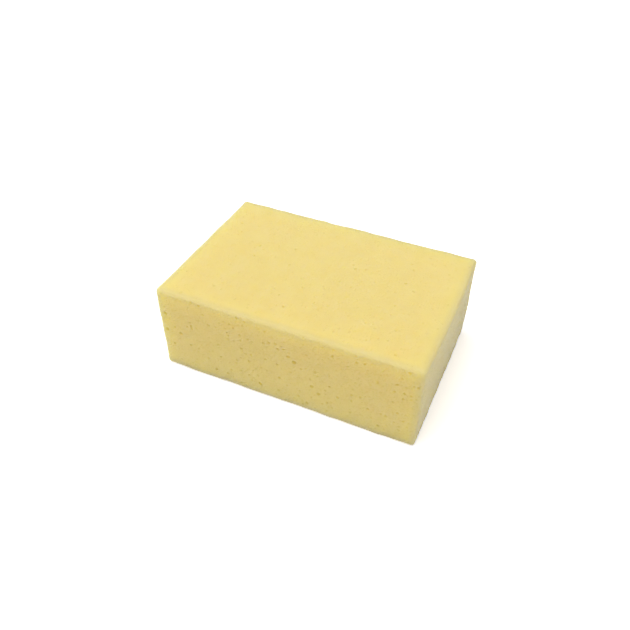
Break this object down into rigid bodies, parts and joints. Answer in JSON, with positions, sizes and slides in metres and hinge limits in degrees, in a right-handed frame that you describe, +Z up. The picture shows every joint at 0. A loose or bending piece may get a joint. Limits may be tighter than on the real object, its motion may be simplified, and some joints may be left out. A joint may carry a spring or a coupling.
{
  "type": "foam sponge block",
  "caption": "Rectangular block of open-cell foam sponge, cut square on all faces, for washing, wiping down, stippling and smoothing in painting, decorating and tiling.",
  "frame": {"origin": "middle of the flat face that the block rests on", "axes": "+X along the longest side, +Y across the width, +Z up through the thickness, away from the surface the block rests on"},
  "size_m": [0.165, 0.11, 0.06],
  "materials": {
    "foam": "matte"
  },
  "bodies": {
    "root": {"sponge_block": "foam"}
  },
  "joints": []
}
